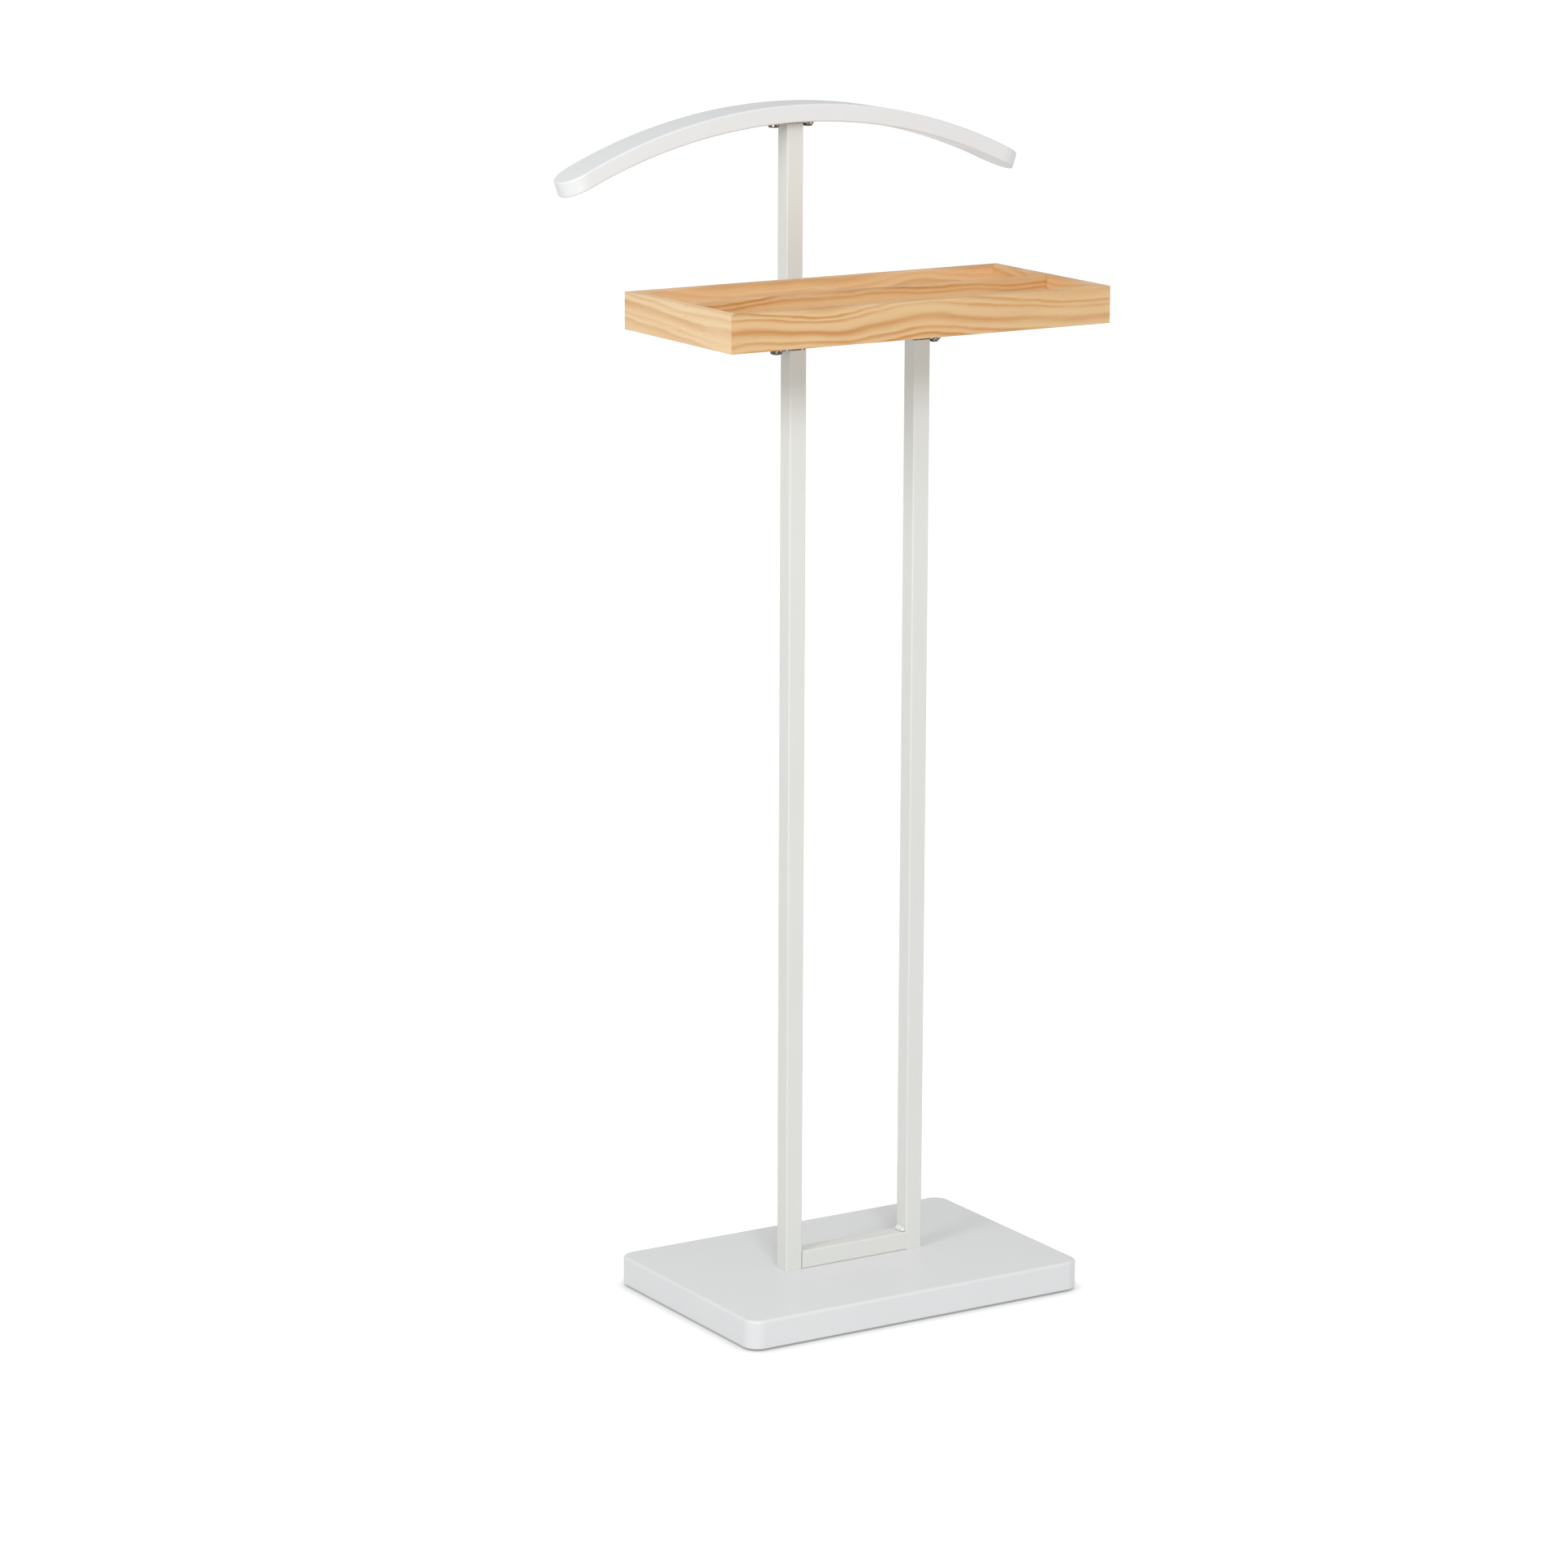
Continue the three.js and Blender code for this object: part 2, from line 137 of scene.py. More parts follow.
def rounded_rectangle(width, height, radius, steps=8, right_radius=None):
    """The corner arcs of a rectangle about the origin, anticlockwise. Its right-hand corners may
    have a radius of their own."""
    points = []
    for quarter, (right, up) in enumerate(((1, 1), (-1, 1), (-1, -1), (1, -1))):
        corner = right_radius if right_radius and right > 0 else radius
        x = right * (width / 2 - corner)
        y = up * (height / 2 - corner)
        for step in range(steps + 1):
            angle = (quarter + step / steps) * QUARTER
            points.append((x + corner * math.cos(angle), y + corner * math.sin(angle)))
    return points


def circle(radius, count=48):
    turn = 2 * math.pi / count
    return [(radius * math.cos(i * turn), radius * math.sin(i * turn)) for i in range(count)]


def at_height(outline, z):
    return [Vector((x, y, z)) for x, y in outline]


def moved(outline, centre):
    return [(x + centre.x, y + centre.y) for x, y in outline]


def vertex_loops(skin, rings):
    """One loop of a skin's vertices for each ring of points."""
    return [[skin.verts.new(point) for point in ring] for ring in rings]


def bridge(skin, first, second):
    """A band of faces between two loops of equally many vertices."""
    for here in range(len(first)):
        following = (here + 1) % len(first)
        skin.faces.new((first[here], first[following], second[following], second[here]))


def loft(rings, cyclic=False):
    """A closed skin through rings of equally many points. Unless it is cyclic, its ends are flat."""
    skin = bmesh.new()
    loops = vertex_loops(skin, rings)
    pairs = list(zip(loops, loops[1:]))
    if cyclic:
        pairs.append((loops[-1], loops[0]))
    else:
        skin.faces.new(loops[0])
        skin.faces.new(loops[-1])
    for first, second in pairs:
        bridge(skin, first, second)
    bmesh.ops.recalc_face_normals(skin, faces=skin.faces)
    return skin


def eased_layers(low, high, low_edge, high_edge, steps):
    """The inset and height of each ring of a body with quarter-round edges, from the bottom up."""
    angles = [step / steps * QUARTER for step in range(steps + 1)]
    layers = []
    for angle in angles:
        layers.append((low_edge * (1 - math.sin(angle)), low + low_edge * (1 - math.cos(angle))))
    for angle in reversed(angles):
        layers.append((high_edge * (1 - math.sin(angle)), high - high_edge * (1 - math.cos(angle))))
    return layers


def eased_slab(outline, low, high, low_edge, high_edge, steps=5):
    """A slab with quarter-round edges between two heights. outline(inset) gives its plan."""
    layers = eased_layers(low, high, low_edge, high_edge, steps)
    return loft([at_height(outline(inset), z) for inset, z in layers])


def turned(profile, count=48):
    """A solid of revolution about Z through [radius, height] points, with small flat ends."""
    return loft([at_height(circle(max(radius, SMALLEST_RADIUS), count), z) for radius, z in profile])


def tube_skin(stations):
    """A square tube along stations, each a matrix whose XY plane holds the section."""
    def rings(side, corner, order):
        outline = at_height(rounded_rectangle(side, side, corner), 0)
        return [[station @ point for point in outline] for station in order]

    inner_side = TUBE_SIDE - 2 * TUBE_WALL
    outer = rings(TUBE_SIDE, TUBE_CORNER, stations)
    inner = rings(inner_side, TUBE_INNER_CORNER, reversed(stations))
    return loft(outer + inner, cyclic=True)


def straight_stations(start, end):
    """Two stations that carry a section from one point to another."""
    turn = (end - start).to_track_quat("Z", "Y").to_matrix().to_4x4()
    return [Matrix.Translation(point) @ turn for point in (start, end)]


# ---------------------------------------------------------------- pieces

def solid(name, skin):
    """A plain object made from a skin."""
    mesh = bpy.data.meshes.new(name)
    skin.to_mesh(mesh)
    skin.free()
    made = bpy.data.objects.new(name, mesh)
    bpy.context.scene.collection.objects.link(made)
    return made


def carve(body, *cutters):
    """Cuts each cutter out of a body and removes the cutter."""
    for cutter in cutters:
        cut = body.modifiers.new("cut", "BOOLEAN")
        cut.operation = "DIFFERENCE"
        cut.solver = "EXACT"
        cut.object = cutter
    graph = bpy.context.evaluated_depsgraph_get()
    carved = bpy.data.meshes.new_from_object(body.evaluated_get(graph))
    body.modifiers.clear()
    body.data = carved
    for cutter in cutters:
        bpy.data.objects.remove(cutter)


def show(piece, look, replaced, sharp=35):
    """Shades a piece, gives it its material and ties it to the CAD model."""
    mesh = piece.data
    mesh.materials.clear()
    mesh.materials.append(look)
    mesh.shade_smooth()
    mesh.set_sharp_from_angle(angle=math.radians(sharp))
    flat = piece.modifiers.new("flat faces stay flat", "WEIGHTED_NORMAL")
    flat.keep_sharp = True
    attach(piece, BODY)
    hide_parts(*replaced)


# ---------------------------------------------------------------- materials

class Graph:
    """A material and short calls that build its nodes."""

    def __init__(self, name):
        self.material = bpy.data.materials.new(name)
        self.material["slot"] = name
        self.material.use_nodes = True
        self.tree = self.material.node_tree
        self.shader = self.tree.nodes["Principled BSDF"]

    def feed(self, socket, value):
        if isinstance(value, bpy.types.NodeSocket):
            self.tree.links.new(value, socket)
        else:
            socket.default_value = value

    def node(self, kind, inputs, **settings):
        made = self.tree.nodes.new("ShaderNode" + kind)
        for name, value in settings.items():
            setattr(made, name, value)
        for key, value in inputs.items():
            self.feed(made.inputs[key], value)
        return made

    def place(self):
        return self.node("TexCoord", {}).outputs["Object"]

    def stretched(self, place, scale):
        return self.node("VectorMath", {0: place, 1: scale}, operation="MULTIPLY").outputs[0]

    def noise(self, place, scale, detail=2.0, roughness=0.5):
        inputs = {"Vector": place, "Scale": scale, "Detail": detail, "Roughness": roughness}
        return self.node("TexNoise", inputs).outputs["Fac"]

    def maths(self, operation, first, second=0.0, third=0.0):
        inputs = {0: first, 1: second, 2: third}
        return self.node("Math", inputs, operation=operation).outputs[0]

    def spread(self, value, low, high, start=0.0, end=1.0):
        """value, which runs from start to end, carried over to the range low to high."""
        inputs = {0: value, 1: start, 2: end, 3: low, 4: high}
        return self.node("MapRange", inputs).outputs[0]

    def blend(self, amount, first, second, mode="MIX"):
        inputs = {0: amount, 6: first, 7: second}
        return self.node("Mix", inputs, data_type="RGBA", blend_type=mode).outputs[2]

    def ramp(self, value, stops):
        """A curve through [position, grey level] stops."""
        made = self.node("ValToRGB", {0: value})
        elements = made.color_ramp.elements
        while len(elements) < len(stops):
            elements.new(0.5)
        for element, (position, level) in zip(elements, stops):
            element.position = position
            element.color = (level, level, level, 1)
        return made.outputs[0]

    def bump(self, height, strength, distance, under=None):
        inputs = {"Height": height, "Strength": strength, "Distance": distance}
        if under is not None:
            inputs["Normal"] = under
        return self.node("Bump", inputs).outputs[0]

    def finish(self, **inputs):
        """Sets the shader's inputs and returns the material. An underscore stands for a space."""
        for name, value in inputs.items():
            self.feed(self.shader.inputs[name.replace("_", " ")], value)
        return self.material


def white_lacquer():
    """Sprayed satin lacquer: a faint orange peel and slight unevenness in tone and gloss."""
    graph = Graph("white_lacquer")
    place = graph.place()
    tone = graph.blend(graph.noise(place, 12, 3), (0.762, 0.772, 0.779, 1), (0.798, 0.806, 0.811, 1))
    peel = graph.bump(graph.noise(place, 700, 2), 0.10, 0.25 * MM)
    sheen = graph.spread(graph.noise(place, 45, 4), 0.30, 0.46, 0.3, 0.7)
    return graph.finish(Base_Color=tone, Roughness=sheen, Normal=peel, Coat_Weight=0.15,
                        Coat_Roughness=0.25)


def white_powder_coat():
    """Powder coat on steel: a fine pebbled skin, a little warmer than the lacquer."""
    graph = Graph("white_powder_coat")
    place = graph.place()
    tone = graph.blend(graph.noise(place, 9, 3), (0.725, 0.737, 0.705, 1), (0.775, 0.782, 0.755, 1))
    pebbles = graph.bump(graph.noise(place, 1600, 3, 0.6), 0.22, 0.12 * MM)
    waves = graph.bump(graph.noise(place, 260, 1), 0.12, 0.2 * MM, pebbles)
    sheen = graph.spread(graph.noise(place, 60, 4), 0.36, 0.54, 0.3, 0.7)
    return graph.finish(Base_Color=tone, Roughness=sheen, Normal=waves)


# Scales are waves to a metre, along the fibres and then across them.
RING_SPACING = 8.2 * MM
SLOW_WAVE = 38 * MM
SLOW_SCALE = (6, 11, 11)
QUICK_WAVE = 5 * MM
QUICK_SCALE = (24, 75, 75)
FIBRE_STREAK = 2.6 * MM
FIBRE_SCALE = (28, 1300, 1300)
CLOUD_SCALE = (5, 40, 40)
PATCH_SCALE = (9, 55, 55)
FLECK_SCALE = (120, 900, 900)
ERA_SCALE = 75  # how often, in a metre from the pith, wide years give way to narrow ones
ERA_SHIFT = 1.5  # the most years that an era adds

DEEP_PINE = (0.765, 0.545, 0.29, 1)
PALE_PINE = (0.90, 0.68, 0.41, 1)
ROSY_TINT = (0.975, 0.89, 0.84, 1)
LATE_WOOD = (0.56, 0.255, 0.07, 1)
FIBRE_TINT = (0.66, 0.38, 0.15, 1)
FLECK_TINT = (0.50, 0.20, 0.06, 1)

# How dark a year's growth is, from [share of the year, darkness] stops: it darkens slowly into
# its late wood and ends quickly.
YEAR = ((0, 0.5), (0.1, 0.12), (0.26, 0.04), (0.5, 0.34), (0.74, 0.95), (0.88, 1), (1, 0.5))


def growth_rings(graph, place, fibres):
    """How many years a point is from the pith, with its share of a year as the fraction.

    The rings are shells round the pith, bent by slow waves along the log, streaked by the fibres,
    and wider in some years than in others."""
    across = graph.stretched(place, (0, 1, 1))
    radius = graph.node("VectorMath", {0: across}, operation="LENGTH").outputs["Value"]
    slow = graph.noise(graph.stretched(place, SLOW_SCALE), 1, 1)
    quick = graph.noise(graph.stretched(place, QUICK_SCALE), 1, 2)
    bent = graph.maths("MULTIPLY_ADD", slow, SLOW_WAVE, radius)
    bent = graph.maths("MULTIPLY_ADD", quick, QUICK_WAVE, bent)
    bent = graph.maths("MULTIPLY_ADD", fibres, FIBRE_STREAK, bent)
    inputs = {"W": graph.maths("MULTIPLY", bent, ERA_SCALE), "Scale": 1, "Detail": 0}
    era = graph.node("TexNoise", inputs, noise_dimensions="1D").outputs["Fac"]
    rings = graph.maths("DIVIDE", bent, RING_SPACING)
    return graph.maths("ADD", rings, graph.maths("MULTIPLY", era, ERA_SHIFT))


def pine():
    """Clear-lacquered pine. The attribute "grain" holds each board's place in its own log, with
    X along the fibres and the pith on the X axis. "pallor" is how pale the board is, up to 1."""
    graph = Graph("pine")
    place = graph.node("Attribute", {}, attribute_name="grain").outputs["Vector"]
    pallor = graph.node("Attribute", {}, attribute_name="pallor").outputs["Fac"]
    fibres = graph.noise(graph.stretched(place, FIBRE_SCALE), 1, 3, 0.6)
    rings = growth_rings(graph, place, fibres)

    # Some rings are stronger than others, and each fades and returns along the board.
    late = graph.ramp(graph.maths("FRACT", rings), YEAR)
    number = {"W": graph.maths("FLOOR", rings)}
    chance = graph.node("TexWhiteNoise", number, noise_dimensions="1D").outputs["Value"]
    strength = graph.spread(chance, 0.35, 1.25)
    patches = graph.noise(graph.stretched(place, PATCH_SCALE), 1, 2)
    patchy = graph.spread(patches, 0.45, 1.15, 0.3, 0.65)
    dark = graph.maths("MULTIPLY", graph.maths("MULTIPLY", late, strength), patchy)
    dark = graph.maths("MULTIPLY", dark, graph.spread(pallor, 1.0, 0.55))

    flecks = graph.noise(graph.stretched(place, FLECK_SCALE), 1, 1)
    fleck = graph.spread(flecks, 0.0, 0.35, 0.68, 0.80)
    clouds = graph.noise(graph.stretched(place, CLOUD_SCALE), 1, 2)
    rosy = graph.spread(clouds, 0, 1, 0.35, 0.65)

    tone = graph.blend(pallor, DEEP_PINE, PALE_PINE)
    tone = graph.blend(rosy, tone, ROSY_TINT, "MULTIPLY")
    tone = graph.blend(dark, tone, LATE_WOOD)
    tone = graph.blend(graph.spread(fibres, 0.0, 0.20, 0.35, 0.75), tone, FIBRE_TINT)
    tone = graph.blend(fleck, tone, FLECK_TINT)

    grooves = graph.bump(fibres, 0.18, 0.10 * MM)
    ridges = graph.bump(late, 0.10, 0.15 * MM, grooves)
    sheen = graph.spread(fibres, 0.44, 0.60, 0.3, 0.7)
    return graph.finish(Base_Color=tone, Roughness=sheen, Normal=ridges, Specular_IOR_Level=0.35,
                        Coat_Weight=0.06, Coat_Roughness=0.35)


def nickel():
    """Nickel plate with fine marks. The dark tone and the bright patches are painted reflections:
    dark surroundings, with painted highlights at random places.
    """
    graph = Graph("nickel_plated_steel")
    place = graph.place()
    # painted reflection: the dark tone stands in for the dark surroundings the metal would reflect
    tone = graph.blend(graph.noise(place, 420, 3), (0.06, 0.043, 0.032, 1), (0.17, 0.145, 0.12, 1))
    # painted highlights: bright patches at random places, not wear
    painted_highlight_patches = graph.spread(graph.noise(place, 300, 1), 0, 1, 0.55, 0.66)
    tone = graph.blend(painted_highlight_patches, tone, (0.82, 0.80, 0.77, 1))
    marks = graph.bump(graph.noise(graph.stretched(place, (1, 1, 6)), 1800, 2), 0.12, 0.05 * MM)
    sheen = graph.spread(graph.noise(place, 900, 3), 0.14, 0.30, 0.3, 0.7)
    return graph.finish(Base_Color=tone, Metallic=1.0, Roughness=sheen, Normal=marks)


def nylon():
    """Moulded dark nylon with a fine spark-eroded texture."""
    graph = Graph("dark_nylon")
    place = graph.place()
    tone = graph.blend(graph.noise(place, 160, 3), (0.035, 0.035, 0.038, 1), (0.06, 0.06, 0.062, 1))
    texture = graph.bump(graph.noise(place, 2600, 3), 0.25, 0.08 * MM)
    sheen = graph.spread(graph.noise(place, 300, 2), 0.5, 0.68, 0.3, 0.7)
    return graph.finish(Base_Color=tone, Roughness=sheen, Normal=texture)


def felt():
    """Pressed grey felt: matted fibres with flecks of lighter wool."""
    graph = Graph("felt")
    place = graph.place()
    matted = graph.noise(place, 1500, 5, 0.7)
    light_wool = graph.spread(matted, 0, 1, 0.3, 0.7)
    tone = graph.blend(light_wool, (0.10, 0.095, 0.09, 1), (0.26, 0.25, 0.235, 1))
    nap = graph.bump(matted, 0.8, 0.3 * MM)
    return graph.finish(Base_Color=tone, Roughness=0.95, Normal=nap, Sheen_Weight=0.4,
                        Sheen_Roughness=0.6)


# ---------------------------------------------------------------- base

def build_slab(look):
    """The base, with a bolt hole and a counterbore under each upright."""
    low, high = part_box("base_plate")
    width = high.x - low.x
    depth = high.y - low.y
    centre = mid(low, high)

    def outline(inset):
        corner = SLAB_CORNER - inset
        return moved(rounded_rectangle(width - 2 * inset, depth - 2 * inset, corner, 16), centre)

    slab = solid("base_slab", eased_slab(outline, low.z, high.z, SLAB_BOTTOM_EDGE, SLAB_TOP_EDGE, 8))
    cutters = []
    for side, _ in SIDES:
        hole = mid(*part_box(f"{side}_base_bolt"))
        cutters.append(drill(hole, BOLT_HOLE_RADIUS, low.z - MM, high.z + MM))
        cutters.append(drill(hole, COUNTERBORE_RADIUS, low.z - MM, low.z + COUNTERBORE_DEPTH))
    carve(slab, *cutters)
    show(slab, look, ["base_plate"])


def drill(place, radius, low, high):
    """A cutter for a round hole about Z."""
    skin = turned([(radius, low), (radius, high)])
    bmesh.ops.translate(skin, verts=skin.verts, vec=(place.x, place.y, 0))
    return solid("drill", skin)


def build_pads(look):
    """Felt pads, each punched a little out of round and crushed at its edge."""
    for end in ("front", "back"):
        for side, _ in SIDES:
            node = f"felt_pad_{end}_{side}"
            low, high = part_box(node)
            centre = mid(low, high)
            radius = (high.x - low.x) / 2 - PAD_CLEARANCE

            def outline(inset):
                points = []
                for x, y in circle(radius - inset, 72):
                    ragged = noise.noise(Vector((x, y, centre.x + centre.y)) / PAD_RAGGED_SIZE)
                    stretch = 1 + ragged * PAD_RAGGED_DEPTH / radius
                    points.append((centre.x + x * stretch, centre.y + y * stretch))
                return points

            skin = eased_slab(outline, low.z, high.z, PAD_BOTTOM_EDGE, PAD_TOP_EDGE)
            show(solid(f"{end}_{side}_pad", skin), look, [node])


# ---------------------------------------------------------------- tubes and plates

def build_tube(name, node, axis, look, lift=0.0, low_reach=0.0, high_reach=0.0):
    """A straight square tube along an axis of a node's box. It sits higher by lift and its ends
    reach further, to close the CAD clearances."""
    low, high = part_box(node)
    start = mid(low, high)
    start.z += lift
    end = start.copy()
    start[axis] = low[axis] - low_reach
    end[axis] = high[axis] + high_reach
    show(solid(name, tube_skin(straight_stations(start, end))), look, [node])


def build_post(look):
    """The hanger's post: back from the bearer, round a bend and up."""
    low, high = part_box("hanger_post")
    level = low.z + TUBE_SIDE / 2
    back = high.y - TUBE_SIDE / 2
    start = Vector((0, low.y, level))
    pivot = Vector((0, back - BEND_RADIUS, level + BEND_RADIUS))
    stations = [Matrix.Translation(start) @ Matrix.Rotation(-QUARTER, 4, "X")]
    for step in range(BEND_STEPS + 1):
        angle = step / BEND_STEPS * QUARTER
        arm = Vector((0, math.sin(angle), -math.cos(angle))) * BEND_RADIUS
        stations.append(Matrix.Translation(pivot + arm) @ Matrix.Rotation(angle - QUARTER, 4, "X"))
    stations.append(Matrix.Translation((0, back, high.z + 2 * TOUCH)))
    show(solid("bent_post", tube_skin(stations)), look, ["hanger_post"])


def build_plate(name, node, holes, look, lift, left_corner=PLATE_CORNER, right_corner=PLATE_CORNER):
    """A flat plate with eased edges and one screw hole at each X in holes. It sits higher by lift."""
    low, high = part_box(node)
    centre = mid(low, high)

    def outline(inset):
        width = high.x - low.x - 2 * inset
        depth = high.y - low.y - 2 * inset
        points = rounded_rectangle(width, depth, left_corner - inset, 8, right_corner - inset)
        return moved(points, centre)

    plate = solid(name, eased_slab(outline, low.z + lift, high.z + lift, PLATE_EDGE, PLATE_EDGE, 3))
    cutters = []
    for x in holes:
        hole = Vector((x, centre.y, 0))
        cutters.append(drill(hole, PLATE_HOLE_RADIUS, low.z - MM, high.z + MM))
    carve(plate, *cutters)
    show(plate, look, [node])


def build_weld(look):
    """A small weld laid by hand: a few round blobs run into one another."""
    low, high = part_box("crossbar_weld_bead")
    leg = high.x - low.x
    length = high.y - low.y
    corner = Vector((high.x, 0, low.z))
    stations = 36
    steps = 8
    rings = []
    for station in range(stations + 1):
        share = station / stations
        y = low.y + share * length
        taper = math.sin(math.pi * min(max(share, 0.03), 0.97)) ** 0.3
        swell = WELD_NECK + (1 - WELD_NECK) * abs(math.sin(math.pi * WELD_BLOBS * share))
        ring = [corner + Vector((0, y, 0))]
        for step in range(steps + 1):
            angle = step / steps * QUARTER
            lump = noise.noise(Vector((y, angle * leg, 0)) / WELD_LUMP_SIZE)
            reach = leg * taper * swell * (1 + WELD_LUMP * lump)
            ring.append(corner + Vector((-reach * math.cos(angle), y, reach * math.sin(angle))))
        rings.append(ring)
    show(solid("foot_weld", loft(rings)), look, ["crossbar_weld_bead"], 60)


def plug_profile(length):
    """The side and height of each square ring of a plug, from the tip of its stub to its rim."""
    core = PLUG_STUB - 2 * PLUG_RIB_HEIGHT
    rings = [(PLUG_TIP, 0), (PLUG_STUB - PLUG_TIP_EASE, PLUG_TIP_LENGTH)]
    for rib in PLUG_RIB_PLACES:
        rings += [(core, rib), (PLUG_STUB, rib + PLUG_RIB_WIDTH / 2), (core, rib + PLUG_RIB_WIDTH)]
    rings += [(core, length - PLUG_FLANGE), (TUBE_SIDE, length - PLUG_FLANGE)]
    steps = 6
    for step in range(steps + 1):
        angle = step / steps * QUARTER
        inset = PLUG_RIM * (1 - math.cos(angle))
        rings.append((TUBE_SIDE - 2 * inset, length - PLUG_RIM + PLUG_RIM * math.sin(angle)))
    return rings


def build_plug(name, node, side, look):
    """A push-in plug: a ribbed stub and a flange with a soft rim."""
    low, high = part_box(node)
    centre = mid(low, high)
    skin = loft([at_height(rounded_rectangle(wide, wide, TUBE_CORNER * wide / TUBE_SIDE), z)
                 for wide, z in plug_profile(high.x - low.x)])
    turn = Matrix.Rotation(side * QUARTER, 4, "Y")
    inner_end = low.x if side > 0 else high.x
    skin.transform(Matrix.Translation((inner_end, centre.y, centre.z)) @ turn)
    show(solid(name, skin), look, [node])


# ---------------------------------------------------------------- screws

def head_profile(radius, height):
    """A domed head from its crown down to its seat, with the crown at z = 0. The crown is a share
    of the radius. The dome and the eased edge at the seat are shares of the height."""
    crown = 0.66
    dome = 0.5
    seat_edge = 0.06
    steps = 8
    points = [(0, 0), (radius * crown, 0)]
    for step in range(1, steps + 1):
        angle = step / steps * QUARTER
        across = radius * (crown + (1 - crown) * math.sin(angle))
        points.append((across, height * dome * (1 - math.cos(angle))))
    points += [(radius, height * (1 - seat_edge)), (radius - height * seat_edge, height)]
    return points


def threaded(radius, start, end):
    """A shank with rings of thread and a short point."""
    root = radius - THREAD_DEPTH
    z = start + 2 * THREAD_PITCH
    points = [(radius, start), (radius, z)]
    while z < end - 3 * THREAD_PITCH:
        for share, across in ((0.3, root), (0.5, radius), (0.7, root)):
            points.append((across, z + share * THREAD_PITCH))
        z += THREAD_PITCH
    points += [(root, end - THREAD_PITCH), (0.4 * radius, end), (0, end)]
    return points


def cross_cutter(radius):
    """A tapered cross for the driver, wide at z = 0 and narrow inside the head."""
    def cross(reach, web):
        quarter = [(reach, -web), (reach, web), (web, web)]
        return [Matrix.Rotation(i * QUARTER, 2) @ Vector(p) for i in range(4) for p in quarter]

    layers = ((0.62, -RECESS_MARGIN), (0.58, 0), (0.34, 1.5 * MM))
    return loft([at_height(cross(radius * share, radius * CROSS_SLOT_SHARE * share), z)
                 for share, z in layers])


def hex_cutter():
    heights = (-RECESS_MARGIN, HEX_RECESS_DEPTH)
    return loft([at_height(circle(HEX_RECESS_RADIUS, 6), z) for z in heights])


def build_screw(name, node, head, height, shank, cutter, look, lift=0.0):
    """A screw that points up from its head, higher by lift than its CAD node."""
    low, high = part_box(node)
    centre = mid(low, high)
    length = high.z - low.z
    profile = head_profile(head, height) + threaded(shank, height, length)
    screw = solid(name, turned(profile, 40))
    carve(screw, solid("driver", cutter))
    screw.data.transform(Matrix.Translation((centre.x, centre.y, low.z + lift)))
    show(screw, look, [node], 30)


def build_fasteners(look):
    """The screws and bolts. A screw rises by one TOUCH for every closed clearance above its head.
    The one between the post's arm and the tray stays open."""
    for node, closed in (("tray_screw_left", 3), ("tray_screw_right", 3), ("tray_screw_rear", 1),
                         ("hanger_screw_left", 2), ("hanger_screw_right", 2)):
        build_screw(f"{node}_cross_head", node, SCREW_HEAD, SCREW_HEAD_HEIGHT, SCREW_SHANK,
                    cross_cutter(SCREW_HEAD), look, closed * TOUCH)
    for side, _ in SIDES:
        build_screw(f"{side}_bolt_hex_head", f"{side}_base_bolt", BOLT_HEAD, BOLT_HEAD_HEIGHT,
                    BOLT_SHANK, hex_cutter(), look)
        build_washer(side, look)


def build_washer(side, look):
    """A plain washer with eased outer edges."""
    node = f"{side}_bolt_washer"
    low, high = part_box(node)
    centre = mid(low, high)
    outer = (high.x - low.x) / 2
    shoulder = outer - WASHER_EDGE
    profile = [(shoulder, low.z), (outer, low.z + WASHER_EDGE), (outer, high.z - WASHER_EDGE),
               (shoulder, high.z), (WASHER_HOLE_RADIUS, high.z), (WASHER_HOLE_RADIUS, low.z)]
    skin = loft([at_height(circle(radius), z) for radius, z in profile], cyclic=True)
    bmesh.ops.translate(skin, verts=skin.verts, vec=(centre.x, centre.y, 0))
    show(solid(f"{side}_plain_washer", skin), look, [node])


# ---------------------------------------------------------------- tray

def build_board(name, node, plan, along, log, pallor, look):
    """A board with eased long edges. plan gives its corners, along is the axis its fibres run on,
    and log is where its middle sits in the log, measured from the pith."""
    low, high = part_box(node)
    skin = loft([at_height(plan, low.z), at_height(plan, high.z)])
    long_edges = [edge for edge in skin.edges
                  if abs(edge.verts[0].co[along] - edge.verts[1].co[along]) > LONGEST_END]
    bmesh.ops.bevel(skin, geom=long_edges, offset=BOARD_EDGE, segments=3, profile=0.5,
                    affect="EDGES", clamp_overlap=True)
    board = solid(name, skin)
    middle = mid(low, high)
    grain = board.data.attributes.new("grain", "FLOAT_VECTOR", "POINT")
    for vertex, value in zip(board.data.vertices, grain.data):
        offset = vertex.co - middle
        if along == 1:
            offset = Vector((offset.y, -offset.x, offset.z))
        value.vector = offset + Vector(log) * MM
    paleness = board.data.attributes.new("pallor", "FLOAT", "POINT")
    paleness.data.foreach_set("value", [pallor] * len(board.data.vertices))
    show(board, look, [node])


def mitred_plan(low, high, inward):
    """The corners of a board whose inner face, towards inward, is shorter by its mitres."""
    depth_axis = 1 if inward.y else 0
    along = 1 - depth_axis
    corners = []
    for across in (0, 1):
        inner = (across == 1) == (inward[depth_axis] > 0)
        setback = WALL if inner else 0
        ends = [low[along] - MITRE_REACH + setback, high[along] + MITRE_REACH - setback]
        for end in (ends if across == 0 else ends[::-1]):
            corner = [0, 0]
            corner[along] = end
            corner[depth_axis] = (high if across else low)[depth_axis]
            corners.append(tuple(corner))
    return corners


def rectangle_plan(low, high):
    return [(low.x, low.y), (high.x, low.y), (high.x, high.y), (low.x, high.y)]


